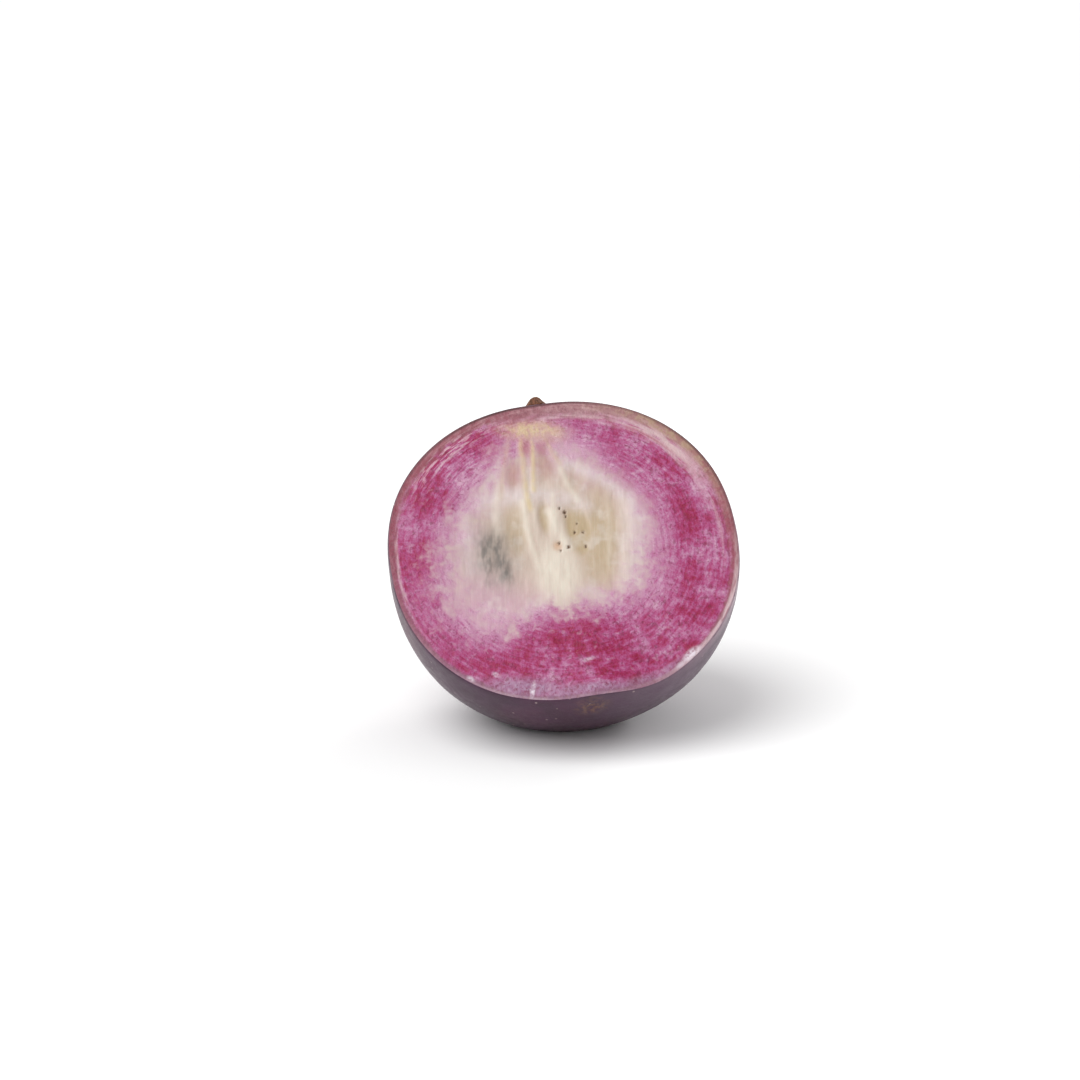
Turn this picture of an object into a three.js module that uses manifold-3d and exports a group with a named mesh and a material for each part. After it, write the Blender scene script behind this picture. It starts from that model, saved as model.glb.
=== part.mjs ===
// Star apple half: one half of a ripe round fruit, cut down its stem axis and leaning back on a small flat spot.
// Millimetres, +Z up. The origin is the middle of the flat spot it rests on. The cut face looks towards -Y and up,
// and the stem end is at the top, turned a little towards -X.

import * as THREE from 'three';
import { mergeVertices } from 'three/addons/utils/BufferGeometryUtils.js';
import Module from 'manifold-3d';

// ---- Driving dimensions ----

const FRUIT_RADIUS = 40;            // half the width of the whole fruit, across the stem axis
const FRUIT_HALF_LENGTH = 39.5;     // from the middle of the fruit to its stem end or its blossom end
const FRUIT_SQUARENESS = 2.2;       // 2 would be an ellipse; a little more gives the fruit its full shoulders
const DIMPLE_DEPTH = 0.3;           // how far the skin sinks in round the stalk
const DIMPLE_RADIUS = 6;            // reach of that dimple
const KNIFE_OFFSET = 3.8;           // the cut passes this far in front of the stem axis

const LEAN = THREE.MathUtils.degToRad(46.7);    // the cut face leans back this far from upright
const ROLL = THREE.MathUtils.degToRad(9);       // the stem end turns this far towards -X
const FOOT_DEPTH = 2.2;             // depth of fruit pressed flat where it rests

const STALK_RADIUS = 1.3;           // at the broken top of the stalk
const STALK_BASE_RADIUS = 3.2;      // where it swells into the skin
const STALK_HEIGHT = 3.9;           // from the bottom of the dimple to the broken top
const STALK_EDGE = 0.5;             // worn edge round the broken top
const STALK_GAP = 0.3;              // clearance left between the stalk and the skin

const ROUND_STEPS = 64;             // facets round the stem axis
const PROFILE_STEPS = 40;           // steps along the skin from the stem end to the blossom end
const STALK_STEPS = 20;             // facets round the stalk
const STALK_ROOT_STEPS = 4;         // steps across the stalk's underside
const CUTTER_SIZE = 200;            // knife and floor blocks, well over the fruit's size

// ---- The shape of the whole fruit ----

// Height of the skin along the stem axis, at a radius from that axis, on the stem side.
function stemSideHeight(radius) {
  const share = Math.min(radius / FRUIT_RADIUS, 1);
  const shoulder = FRUIT_HALF_LENGTH * (1 - share ** FRUIT_SQUARENESS) ** (1 / FRUIT_SQUARENESS);
  return shoulder - DIMPLE_DEPTH * Math.exp(-((radius / DIMPLE_RADIUS) ** 2));
}

// Profile of the fruit from its blossom end up to its stem end, starting and ending on the axis.
function fruitProfile() {
  const points = [];
  for (let step = 0; step <= PROFILE_STEPS; step += 1) {
    const angle = Math.PI * (step / PROFILE_STEPS - 0.5);
    const radius = FRUIT_RADIUS * Math.cos(angle) ** (2 / FRUIT_SQUARENESS);
    const height = FRUIT_HALF_LENGTH * Math.abs(Math.sin(angle)) ** (2 / FRUIT_SQUARENESS);
    const onAxis = step === 0 || step === PROFILE_STEPS;
    const x = onAxis ? 0 : radius;
    points.push(new THREE.Vector2(x, angle > 0 ? stemSideHeight(x) : -height));
  }
  return points;
}

// The lowest point of the leaning fruit, in the fruit's own frame, worked out from the direction that points down.
function lowestPoint(down) {
  const power = FRUIT_SQUARENESS / (FRUIT_SQUARENESS - 1);
  const across = Math.hypot(down.x, down.y);
  const side = (FRUIT_RADIUS * across) ** power;
  const end = (FRUIT_HALF_LENGTH * Math.abs(down.z)) ** power;
  const reach = (side + end) ** (1 / power);
  const radius = FRUIT_RADIUS * ((FRUIT_RADIUS * across) / reach) ** (power - 1);
  const height = FRUIT_HALF_LENGTH * ((FRUIT_HALF_LENGTH * Math.abs(down.z)) / reach) ** (power - 1);
  return new THREE.Vector3(
    (radius * down.x) / across,
    (radius * down.y) / across,
    Math.sign(down.z) * height,
  );
}

// ---- Solids ----

const wasm = await Module();
wasm.setup();

function toSolid(geometry) {
  const bare = geometry.clone();
  bare.deleteAttribute('normal');
  bare.deleteAttribute('uv');
  const merged = mergeVertices(bare);
  return new wasm.Manifold(new wasm.Mesh({
    numProp: 3,
    vertProperties: new Float32Array(merged.attributes.position.array),
    triVerts: new Uint32Array(merged.index.array),
  }));
}

function toGeometry(solid) {
  const mesh = solid.getMesh();
  const geometry = new THREE.BufferGeometry();
  geometry.setAttribute('position', new THREE.BufferAttribute(mesh.vertProperties, 3));
  geometry.setIndex(new THREE.BufferAttribute(mesh.triVerts, 1));
  geometry.computeVertexNormals();
  return geometry;
}

// A lathe turns about Y, so its result is stood up to turn about Z.
function turned(points, steps) {
  const geometry = new THREE.LatheGeometry(points, steps);
  geometry.rotateX(Math.PI / 2);
  return geometry;
}

// ---- Pose: stem end rolled to one side, then the whole half leaned back and set down on its foot ----

const rollGroup = new THREE.Group();
rollGroup.rotation.y = -ROLL;

const leanGroup = new THREE.Group();
leanGroup.rotation.x = -LEAN;
leanGroup.add(rollGroup);

const starApple = new THREE.Group();
starApple.add(leanGroup);
starApple.updateMatrixWorld(true);

const fruitToFloor = rollGroup.matrixWorld.clone();
const floorToFruit = fruitToFloor.clone().invert();
const down = new THREE.Vector3(0, 0, -1).transformDirection(floorToFruit);
const touch = lowestPoint(down).applyMatrix4(fruitToFloor);
leanGroup.position.set(-touch.x, -touch.y, -touch.z - FOOT_DEPTH);
starApple.updateMatrixWorld(true);

// ---- Fruit half ----

function makeFruitHalf() {
  const whole = toSolid(turned(fruitProfile(), ROUND_STEPS));

  const knifeBlock = new THREE.BoxGeometry(CUTTER_SIZE, CUTTER_SIZE, CUTTER_SIZE);
  knifeBlock.translate(0, -KNIFE_OFFSET - CUTTER_SIZE / 2, 0);

  const floorBlock = new THREE.BoxGeometry(CUTTER_SIZE, CUTTER_SIZE, CUTTER_SIZE);
  floorBlock.translate(0, 0, -CUTTER_SIZE / 2);
  floorBlock.applyMatrix4(rollGroup.matrixWorld.clone().invert());

  const half = whole.subtract(toSolid(knifeBlock)).subtract(toSolid(floorBlock));
  const skinMaterial = new THREE.MeshStandardMaterial({ color: 0x7b3f55, roughness: 0.45, metalness: 0 });
  const mesh = new THREE.Mesh(toGeometry(half), skinMaterial);
  mesh.name = 'fruit_half';
  return mesh;
}

// ---- Stalk stub: the short broken end of the stalk, standing in the dimple ----

function makeStalkStub() {
  const points = [];
  for (let step = 0; step <= STALK_ROOT_STEPS; step += 1) {
    const radius = (STALK_BASE_RADIUS * step) / STALK_ROOT_STEPS;
    points.push(new THREE.Vector2(radius, stemSideHeight(radius) + STALK_GAP));
  }
  const top = stemSideHeight(0) + STALK_HEIGHT;
  points.push(new THREE.Vector2(STALK_RADIUS, top - STALK_EDGE));
  points.push(new THREE.Vector2(STALK_RADIUS - STALK_EDGE, top));
  points.push(new THREE.Vector2(0, top));

  const barkMaterial = new THREE.MeshStandardMaterial({ color: 0x775141, roughness: 0.85, metalness: 0 });
  const mesh = new THREE.Mesh(toGeometry(toSolid(turned(points, STALK_STEPS))), barkMaterial);
  mesh.name = 'stalk_stub';
  return mesh;
}

rollGroup.add(makeFruitHalf(), makeStalkStub());
starApple.updateMatrixWorld(true);

export default starApple;
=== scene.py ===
"""Half of a ripe star apple, leaning back on a small flat spot with its cut face showing."""

import math
from collections import namedtuple
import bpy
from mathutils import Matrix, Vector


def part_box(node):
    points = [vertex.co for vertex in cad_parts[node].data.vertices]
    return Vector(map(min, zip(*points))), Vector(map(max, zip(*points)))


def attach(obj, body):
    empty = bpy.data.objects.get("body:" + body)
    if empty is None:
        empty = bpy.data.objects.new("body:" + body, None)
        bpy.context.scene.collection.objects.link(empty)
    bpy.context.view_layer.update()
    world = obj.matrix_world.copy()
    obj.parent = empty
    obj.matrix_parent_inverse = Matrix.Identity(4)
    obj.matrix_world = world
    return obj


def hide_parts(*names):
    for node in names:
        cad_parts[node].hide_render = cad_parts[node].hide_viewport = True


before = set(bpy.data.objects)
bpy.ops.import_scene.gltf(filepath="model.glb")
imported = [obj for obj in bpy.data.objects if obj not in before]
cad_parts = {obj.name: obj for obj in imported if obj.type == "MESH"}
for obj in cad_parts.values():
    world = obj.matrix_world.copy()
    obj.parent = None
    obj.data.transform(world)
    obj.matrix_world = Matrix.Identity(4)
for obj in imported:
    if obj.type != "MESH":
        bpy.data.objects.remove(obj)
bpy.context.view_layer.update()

from types import SimpleNamespace

import bpy
import numpy as np
from bpy.props import FloatProperty, FloatVectorProperty, IntProperty, PointerProperty
from mathutils import Vector, noise

bl_info = {
    "name": "Star Apple Half",
    "version": (1, 0, 0),
    "blender": (4, 5, 0),
    "location": "3D Viewport > Sidebar > Star Apple",
    "description": "Models a cut half of a star apple, with its stalk stub, on a plain studio floor",
    "category": "Object",
}

MM = 0.001
BODY = "root"
FIT_TOLERANCE = 0.6 * MM


# ------------------------------------------------------------
# Sizes and colours that a user would change
# ------------------------------------------------------------

def tint(code):
    """A colour given as a six-figure code, as the linear numbers that shaders take."""
    shades = [int(code[i:i + 2], 16) / 255 for i in (0, 2, 4)]
    return tuple(s / 12.92 if s <= 0.04045 else ((s + 0.055) / 1.055) ** 2.4 for s in shades)


def length(name, description, millimetres):
    return FloatProperty(name=name, description=description, default=millimetres * MM, min=0.0,
                         unit="LENGTH", precision=5)


def turn(name, description, degrees):
    return FloatProperty(name=name, description=description, default=math.radians(degrees),
                         subtype="ANGLE")


def colour(name, description, code):
    return FloatVectorProperty(name=name, description=description, default=tint(code), size=3, min=0.0,
                               max=1.0, subtype="COLOR")


# Small touches of colour, in the order in which they are laid on.
FLESH_TOUCHES = SimpleNamespace(
    bruise=tint("946A87"), fleck=tint("C9A3B6"), stroke=tint("74203F"), spot=tint("7D2549"),
    blush=tint("C39DAA"), milk=tint("D5CBC4"), haze=tint("D5C7C8"), furrow_shade=tint("A08A80"),
    fibre_blush=tint("AA6672"), stain=tint("C08650"), speck=tint("553518"),
)
RIND_TOUCHES = SimpleNamespace(
    mauve=tint("8A6079"), ruddy=tint("8E4A56"), spot=tint("C59FA3"), shadow=tint("7E4A55"),
    streak=tint("D0A9AC"), pale=tint("CAABAD"), low_pale=tint("DED0D7"), rim_streak=tint("CFA9B2"),
    fleck=tint("E2D8E1"), skin_line=tint("5A3236"),
)
# The skin's first two touches are painted shade and the third a painted sheen.
SKIN_TOUCHES = SimpleNamespace(
    painted_shade_dark=tint("381F34"), lower=tint("4A2B43"), painted_sheen=tint("AD949F"), pore=tint("B9A3A0"),
)
BARK_TOUCHES = SimpleNamespace(cracks=tint("4C3022"), dust=tint("97704F"), torn=tint("7A5638"))


class FruitSizes(bpy.types.PropertyGroup):
    """Shape of the fruit and how it was cut and laid down."""
    radius: length("Radius", "Half the width of the whole fruit, across its stem axis", 40)
    half_length: length("Half length", "From the middle of the fruit to its stem end", 39.5)
    squareness: FloatProperty(name="Squareness", default=2.2, min=1.5, max=4.0,
                              description="2 is an ellipse; more gives fuller shoulders")
    dimple_depth: length("Dimple depth", "How far the skin sinks in round the stalk", 0.3)
    dimple_radius: length("Dimple radius", "Reach of the dimple round the stalk", 6)
    knife_offset: length("Knife offset", "How far in front of the stem axis the cut passes", 3.8)
    lean: turn("Lean", "How far the cut face leans back from upright", 46.7)
    roll: turn("Roll", "How far the stem end is turned towards -X", 9)
    foot_depth: length("Foot depth", "Depth of fruit pressed flat where it rests", 2.2)
    rim_round: length("Rim rounding", "Radius of the cut skin's edge", 0.25)
    face_cells: IntProperty(name="Face cells", description="Mesh cells across the cut face",
                            default=216, min=16, max=220)
    skin_rings: IntProperty(name="Skin rings", description="Mesh rings from the rim to the back",
                            default=44, min=12, max=60)


class FleshColours(bpy.types.PropertyGroup):
    """Colours of the cut face."""
    heart: colour("Heart", "Clear jelly in the middle", "C5B2A4")
    halo: colour("Halo", "Edge of the jelly, where the pink begins", "BE9CA5")
    palest: colour("Palest", "Palest flecks in the ring of flesh", "C596AF")
    pale: colour("Pale", "Pale flesh", "B5769A")
    magenta: colour("Magenta", "The ring of ripe flesh", "A64779")
    deep: colour("Deep", "Riper flesh", "9A2256")
    crimson: colour("Crimson", "The ripest flesh", "8C0F3B")
    lavender: colour("Lavender", "Bruised flesh along the lower rim", "A2869F")
    hollow: colour("Hollow", "Seed cells seen through the jelly", "B09A76")
    cream: colour("Cream", "Walls between the seed cells", "DACFC0")
    strand: colour("Strand", "Fibres that come down from the stalk", "D2BD92")
    seed: colour("Seed", "A dark seed seen through the jelly", "615D59")
    rind: colour("Rind", "Firm layer under the skin", "8E3E4F")
    crown: colour("Crown", "The thicker rind at the stem end", "9F7179")
    ochre: colour("Ochre", "Where the rind turns brown in air", "A88A74")


class SkinColours(bpy.types.PropertyGroup):
    """Colours of the skin."""
    mauve: colour("Mauve", "Main colour of the skin", "624350")
    plum: colour("Plum", "Darker patches", "432E3E")
    ruddy: colour("Ruddy", "Redder patches", "6B343C")
    bloom: colour("Bloom", "Pale waxy bloom", "8C7888")
    scuff: colour("Scuff", "Tan scuffs and the scar of the flower", "8E6A4B")


class StalkSizes(bpy.types.PropertyGroup):
    """Shape and colours of the broken stalk."""
    radius: length("Radius", "Radius of the stalk half way up", 2.15)
    height: length("Height", "From the bottom of the dimple to the broken top", 3.9)
    lobe_reach: length("Lobe reach", "How far the five dry sepals spread from the axis", 4.2)
    bark: colour("Bark", "Dry bark", "83553F")
    wood: colour("Wood", "Broken end of the stalk", "A98360")


class StageSizes(bpy.types.PropertyGroup):
    """Camera, floor and lamps."""
    camera_height: turn("Camera height", "Angle of the view above the horizon", 16)
    camera_distance: FloatProperty(name="Camera distance", default=0.584, unit="LENGTH",
                                   description="From the lens to the fruit's middle")
    lens: FloatProperty(name="Lens", description="Focal length in millimetres", default=85.0)
    aside: length("Aside", "How far the fruit's middle lies right of the picture's middle", 5.34)
    below: length("Below", "How far the fruit's middle lies below the picture's middle", 3.23)
    floor_colour: colour("Floor", "Pale floor", "FAFAFA")
    sky_strength: FloatProperty(name="Sky strength", default=0.55,
                                description="Light from the white surroundings")
    sun_strength: FloatProperty(name="Sun strength", default=2.15,
                                description="Strength of the broad soft lamp overhead")
    sun_spread: turn("Sun spread", "Width of the soft lamp as seen from the fruit", 60)
    rim_power: FloatProperty(name="Rim power", default=2.6,
                             description="Watts of the lamp that glosses the right edge")


class StarAppleSettings(bpy.types.PropertyGroup):
    """All the settings of the model."""
    fruit: PointerProperty(type=FruitSizes)
    flesh: PointerProperty(type=FleshColours)
    skin: PointerProperty(type=SkinColours)
    stalk: PointerProperty(type=StalkSizes)
    stage: PointerProperty(type=StageSizes)


# ------------------------------------------------------------
# Shape of the fruit. In the leaning frame u is to the right, d is the depth behind the stem
# axis and w is up along the cut face, all from the fruit's middle.
# ------------------------------------------------------------

HALVINGS = 40       # rounds of halving in the search for the skin


class Pose:
    """Where the leaning half stands, worked out from its sizes."""

    def __init__(self, size):
        self.size = size
        self.right = np.array((1.0, 0.0, 0.0))
        self.behind = np.array((0.0, math.cos(size.lean), -math.sin(size.lean)))
        self.up_face = np.array((0.0, math.sin(size.lean), math.cos(size.lean)))
        self.stem = np.array((-math.sin(size.roll), 0.0, math.cos(size.roll)))
        self.centre = -self.lowest_point() - np.array((0.0, 0.0, size.foot_depth))

    def turned(self, points):
        """Points in the leaning frame, turned to the frame of the floor but still from the middle."""
        return points @ np.stack((self.right, self.behind, self.up_face))

    def to_world(self, points):
        """Points in the leaning frame, put where the fruit stands on the floor."""
        return self.turned(points) + self.centre

    def lowest_point(self):
        """The lowest point of the whole leaning fruit, from its middle."""
        size = self.size
        down = np.array((-self.right[2], -self.behind[2], -self.up_face[2]))
        along = float(down @ self.stem)
        side = down - along * self.stem
        across = float(np.linalg.norm(side))
        power = size.squareness / (size.squareness - 1.0)
        wide, tall = size.radius * across, size.half_length * abs(along)
        reach = (wide ** power + tall ** power) ** (1.0 / power)
        out = size.radius * (wide / reach) ** (power - 1.0)
        end = size.half_length * (tall / reach) ** (power - 1.0)
        return self.turned(side / across * out + self.stem * math.copysign(end, along))


def skin_reach(directions, pose):
    """How far the skin is from the fruit's middle, along each direction of length 1."""
    size = pose.size
    along = np.abs(directions @ pose.stem)
    across = np.sqrt(np.maximum(1.0 - along ** 2, 0.0))
    wide = (across / size.radius) ** size.squareness
    tall = (along / size.half_length) ** size.squareness
    return (wide + tall) ** (-1.0 / size.squareness)


def slice_radius(bearing, depth, pose):
    """Distance out to the skin at each bearing round the cut face, at each depth behind the stem axis."""
    low = np.zeros_like(bearing)
    high = np.full_like(bearing, pose.size.radius * 1.2)
    for _ in range(HALVINGS):
        middle = (low + high) / 2
        points = np.stack([middle * np.cos(bearing), np.full_like(bearing, depth),
                           middle * np.sin(bearing)], 1)
        far = np.linalg.norm(points, axis=1)
        inside = far < skin_reach(points / far[:, None], pose)
        low = np.where(inside, middle, low)
        high = np.where(inside, high, middle)
    return (low + high) / 2


def stem_dimple(points, pose):
    """Sinks the skin in a little round the stalk."""
    size = pose.size
    along = points @ pose.stem
    across = np.linalg.norm(points - along[:, None] * pose.stem, axis=1)
    near_end = smooth(along, 0.6 * size.half_length, 0.9 * size.half_length)
    sink = size.dimple_depth * np.exp(-(across / size.dimple_radius) ** 2) * near_end
    return points - sink[:, None] * pose.stem


def fractal(points, scale, octaves=4, seed=0.0):
    """Smooth noise from about -1 to 1 at each point. scale is the size of its largest lumps."""
    shift = Vector((seed * 7.31, seed * 3.17, seed * 5.71))
    return np.array([noise.fractal(Vector(p) / scale + shift, 0.9, 2.1, octaves) for p in points])


def smooth(value, low, high):
    """0 below low and 1 above high, with a soft step between."""
    share = np.clip((value - low) / (high - low), 0.0, 1.0)
    return share * share * (3.0 - 2.0 * share)


# ------------------------------------------------------------
# What lies in the cut face: places and sizes in millimetres, u to the right and w up the face
# ------------------------------------------------------------

def facing(u, w, bearing, spread):
    """1 where the rim faces a bearing in degrees, fading to 0 over a spread on each side."""
    off = np.mod(np.degrees(np.arctan2(w, u)) - bearing + 180.0, 360.0) - 180.0
    return np.exp(-(off / spread) ** 2)


def band(value, low, high, soft):
    """1 between low and high, fading to 0 over soft on each side."""
    return smooth(value, low - soft, low + soft) * (1.0 - smooth(value, high - soft, high + soft))


class Patch(namedtuple("Patch", "u w half_u half_w turn soft amount")):
    """A soft oval, turned by some degrees, that fades over a share of its reach."""

    def at(self, u, w, edge):
        turned = math.radians(self.turn)
        across = (u - self.u) * math.cos(turned) + (w - self.w) * math.sin(turned)
        along = (w - self.w) * math.cos(turned) - (u - self.u) * math.sin(turned)
        far = np.hypot(across / self.half_u, along / self.half_w)
        return self.amount * (1.0 - smooth(far, 1.0 - self.soft, 1.0 + self.soft))


class Strand(namedtuple("Strand", "path width amount")):
    """Full along its path, and fading over its width and at its ends."""

    def at(self, u, w, edge):
        nearest = np.full_like(u, np.inf)
        for (u0, w0), (u1, w1) in zip(self.path, self.path[1:]):
            du, dw = u1 - u0, w1 - w0
            share = np.clip(((u - u0) * du + (w - w0) * dw) / (du * du + dw * dw), 0.0, 1.0)
            nearest = np.minimum(nearest, np.hypot(u - u0 - share * du, w - w0 - share * dw))
        return self.amount * np.exp(-(nearest / self.width) ** 2)


class Speck(namedtuple("Speck", "u w radius")):
    """A brown speck, half as long again as it is wide."""

    def at(self, u, w, edge):
        far = np.hypot(u - self.u, (w - self.w) / SPECK_STRETCH)
        return 1.0 - smooth(far, 0.5 * self.radius, 1.2 * self.radius)


class Side(namedtuple("Side", "bearing spread amount")):
    """One side of the face, from its middle to the rim: a bearing and a spread in degrees."""

    def at(self, u, w, edge):
        return self.amount * facing(u, w, self.bearing, self.spread)


class RimLine(namedtuple("RimLine", "low high soft bearing spread amount")):
    """A band between two distances in from the rim, on one side of it."""

    def at(self, u, w, edge):
        across = band(edge, self.low, self.high, self.soft)
        return self.amount * across * facing(u, w, self.bearing, self.spread)


def every(kind, *rows):
    """Marks of one kind, from a row of values for each."""
    return tuple(kind(*row) for row in rows)


SPECK_STRETCH = 1.5     # how much longer a speck is than wide
HEART_MIDDLE = (-3.0, 1.0)
# How far the pale heart reaches at every 30 degrees, from the right and round by the stem end.
HEART_REACH = (23.4, 24.3, 24.3, 28.3, 25.0, 23.5, 24.5, 28.5, 26.5, 18.5, 20.0, 23.0)

HOLLOWS = every(
    Patch,
    (-10.8, 4.5, 2.6, 6.2, 4, 0.5, 0.55),
    (-4.3, 8.0, 1.3, 4.0, 6, 0.5, 0.8),
    (3.6, 5.0, 3.0, 7.5, 10, 0.35, 1.0),
    (8.8, 3.5, 4.6, 13.5, 0, 0.6, 0.75),
    (3.0, 18.5, 2.6, 4.0, -15, 0.6, 0.35),
    (-11.6, 18.5, 1.2, 4.2, 3, 0.7, 0.45),
    (-4.2, 21.5, 1.6, 4.0, 2, 0.7, 0.35),
)
WALLS = every(
    Strand,
    (((-9.2, 12.0), (-8.4, 5.0), (-6.6, -2.0), (-4.6, -8.0)), 0.8, 0.75),
    (((-0.6, 21.0), (1.2, 16.5), (3.4, 12.5)), 0.8, 0.6),
    (((-2.6, 9.2), (-1.4, 4.2), (0.7, -0.6)), 1.5, 1.0),
    (((-2.4, 14.0), (-2.0, 8.0), (-2.6, 1.0)), 0.7, 0.5),
    (((-6.6, 10.0), (-6.0, 3.0), (-4.4, -4.0)), 0.6, 0.45),
    (((-15.0, 17.0), (-15.6, 10.0), (-14.8, 3.0)), 0.9, 0.4),
    (((13.8, 12.0), (14.8, 2.0), (13.6, -10.0)), 1.8, 0.35),
    (((10.2, 14.0), (10.6, 4.0), (10.2, -4.0)), 0.8, 0.22),
)
HAZE = every(
    Strand,
    (((-26.0, 9.0), (-19.0, 12.2), (-9.9, 14.0), (-0.7, 13.2), (5.0, 11.0)), 2.4, 0.6),
    (((-23.0, 10.0), (-22.0, 2.0), (-21.0, -6.0)), 2.2, 0.35),
    (((15.5, 14.0), (17.0, 2.0), (15.5, -9.0)), 2.4, 0.5),
    (((-19.0, 12.0), (-17.0, 18.0), (-14.5, 23.0)), 1.4, 0.35),
    (((1.0, 22.5), (9.0, 18.6), (14.6, 13.4), (17.6, 7.6)), 1.8, 0.7),
    (((6.0, -11.5), (12.0, -15.5)), 1.8, 0.4),
)
CONE = Patch(-1.3, -7.0, 4.4, 7.6, 4, 0.6, 1.0)
FIBRES = every(
    Strand,
    (((-10.0, 29.5), (-9.4, 23.0), (-8.6, 15.0), (-7.6, 10.0)), 0.75, 0.8),
    (((-7.4, 30.0), (-6.9, 23.0), (-6.8, 15.0)), 0.65, 0.8),
    (((-12.6, 30.0), (-13.6, 22.0), (-14.4, 13.0)), 0.7, 0.3),
    (((-4.2, 29.5), (-2.6, 25.5), (-0.8, 22.5)), 0.6, 0.5),
)
STEM_PATCH = Patch(-7.2, 31.2, 6.6, 2.6, -4, 0.8, 0.9)
FIBRE_BLUSH = every(
    Patch,
    (-8.6, 26.6, 1.1, 2.2, 5, 0.8, 1.0),
    (-5.0, 26.2, 1.2, 2.0, 0, 0.8, 0.75),
    (-11.4, 19.0, 1.5, 3.0, 3, 0.9, 0.55),
    (-4.0, 22.0, 2.0, 3.4, 0, 0.9, 0.45),
    (-3.2, 28.6, 1.2, 1.0, 0, 0.9, 0.4),
)
SEED_SHADOW = every(
    Patch,
    (-15.8, -2.6, 5.0, 8.2, 8, 0.85, 0.42),
    (-17.6, -3.0, 1.5, 5.8, 8, 0.9, 0.42),
    (-13.9, -4.2, 1.4, 5.4, 14, 0.9, 0.42),
    (-16.0, 1.2, 2.2, 2.6, 0, 0.9, 0.25),
    (-12.8, -7.4, 1.6, 2.4, 14, 0.9, 0.2),
)
RIPEST = every(
    Patch,
    (4.0, -24.0, 8.5, 6.5, 0, 0.8, 1.15),
    (14.0, -31.0, 11.0, 3.4, 12, 0.7, 0.8),
    (-7.5, -26.5, 5.0, 6.0, 0, 0.8, 0.7),
    (27.5, -17.5, 4.5, 5.5, -20, 0.9, 0.7),
    (29.5, -6.0, 3.4, 6.0, 0, 0.9, 0.45),
    (29.0, 8.5, 3.6, 7.0, 8, 0.9, 0.8),
    (25.5, -26.0, 5.0, 3.0, 30, 0.9, 0.5),
    (-32.5, -4.0, 4.0, 8.0, 0, 0.8, 1.1),
    (-30.0, 12.5, 4.4, 7.0, 25, 0.8, 1.0),
    (-31.0, -14.0, 3.4, 4.0, 20, 0.8, 0.7),
    (-18.5, 27.0, 5.0, 2.6, -28, 0.8, 0.9),
    (13.0, 27.5, 8.5, 2.4, -30, 0.7, 0.1),
    (24.0, 19.5, 4.5, 3.4, 45, 0.8, 0.25),
    (-25.0, -25.0, 7.0, 4.6, -40, 0.8, 0.55),
    (-16.0, -30.0, 6.0, 3.0, -20, 0.8, 0.75),
)
PALEST = every(
    Patch,
    (-35.0, 3.6, 2.2, 3.2, 0, 0.8, 0.8),
    (-29.5, 5.6, 2.4, 2.6, 0, 0.8, 0.5),
    (-24.0, 18.0, 1.8, 3.0, 30, 0.8, 0.5),
    (22.0, -12.0, 3.4, 3.6, 0, 0.8, 0.55),
    (2.0, 26.0, 4.5, 2.0, -18, 0.8, 0.6),
    (20.0, 21.0, 6.0, 2.6, -45, 0.8, 0.3),
    (31.5, 14.0, 2.2, 5.0, 25, 0.8, 0.5),
    (-20.0, -21.0, 6.0, 4.0, 30, 0.8, 0.4),
)
FLECKS = every(
    Patch,
    (28.4, -27.6, 2.2, 0.9, 42, 0.6, 0.95),
    (26.0, -29.9, 1.3, 0.5, 42, 0.7, 0.6),
    (-6.9, -36.8, 0.5, 1.6, -8, 0.7, 0.95),
    (-20.6, -34.0, 0.9, 0.5, -30, 0.7, 0.7),
    (-15.0, -33.0, 0.8, 0.5, -20, 0.7, 0.6),
    (5.5, -29.4, 1.3, 0.4, 20, 0.7, 0.5),
)
LAVENDER = every(
    Patch,
    (-9.0, -36.4, 9.0, 2.4, -3, 0.7, 0.8),
    (7.0, -36.9, 13.0, 1.7, 5, 0.6, 0.75),
    (17.0, -34.6, 7.0, 1.5, 20, 0.7, 0.7),
    (23.5, -31.4, 6.0, 1.3, 36, 0.7, 0.6),
)
BLUSH = every(
    Patch,
    (-19.0, -17.0, 13.0, 9.0, 30, 0.8, 1.0),
    (-23.5, 3.0, 4.5, 13.0, 0, 0.9, 0.4),
    (-15.0, 21.0, 4.0, 5.0, 0, 0.9, 0.4),
    (12.0, -15.0, 8.0, 4.0, 20, 0.9, 0.5),
)
SPECKS = every(
    Speck,
    (0.3, 9.3, 0.42), (-0.9, 10.3, 0.28), (0.5, 8.2, 0.24), (2.6, 4.0, 0.26), (4.5, 4.1, 0.28),
    (1.2, 0.0, 0.38), (5.1, 0.3, 0.3), (-0.9, 0.9, 0.28), (-0.6, -1.0, 0.26), (3.2, 6.4, 0.2),
)
STAIN = Patch(-1.4, 0.2, 0.9, 1.1, 0, 0.8, 0.8)
# Pale lines in from the rim. The one at 338 degrees, right on the rim, is a painted highlight of the glossy
# skin edge; the rest are pale lines of the rind.
PALE_LINES = every(
    RimLine,
    (2.0, 5.6, 1.2, 50, 22, 1.0), (3.4, 4.4, 0.5, 85, 16, 0.8), (1.4, 1.9, 0.35, 188, 20, 0.9),
    (3.0, 3.8, 0.6, 15, 18, 0.5), (-0.5, 0.8, 0.3, 338, 28, 1.0), (-0.5, 0.45, 0.25, 262, 44, 0.28),
)
# The rind is a millimetre thick, and thicker by so many millimetres on these sides.
THINNEST_RIND = 1.0
RIND_SWELLS = every(Side, (15, 40, 1.0), (90, 32, 2.9), (140, 20, 0.9), (180, 30, 0.5))

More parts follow.
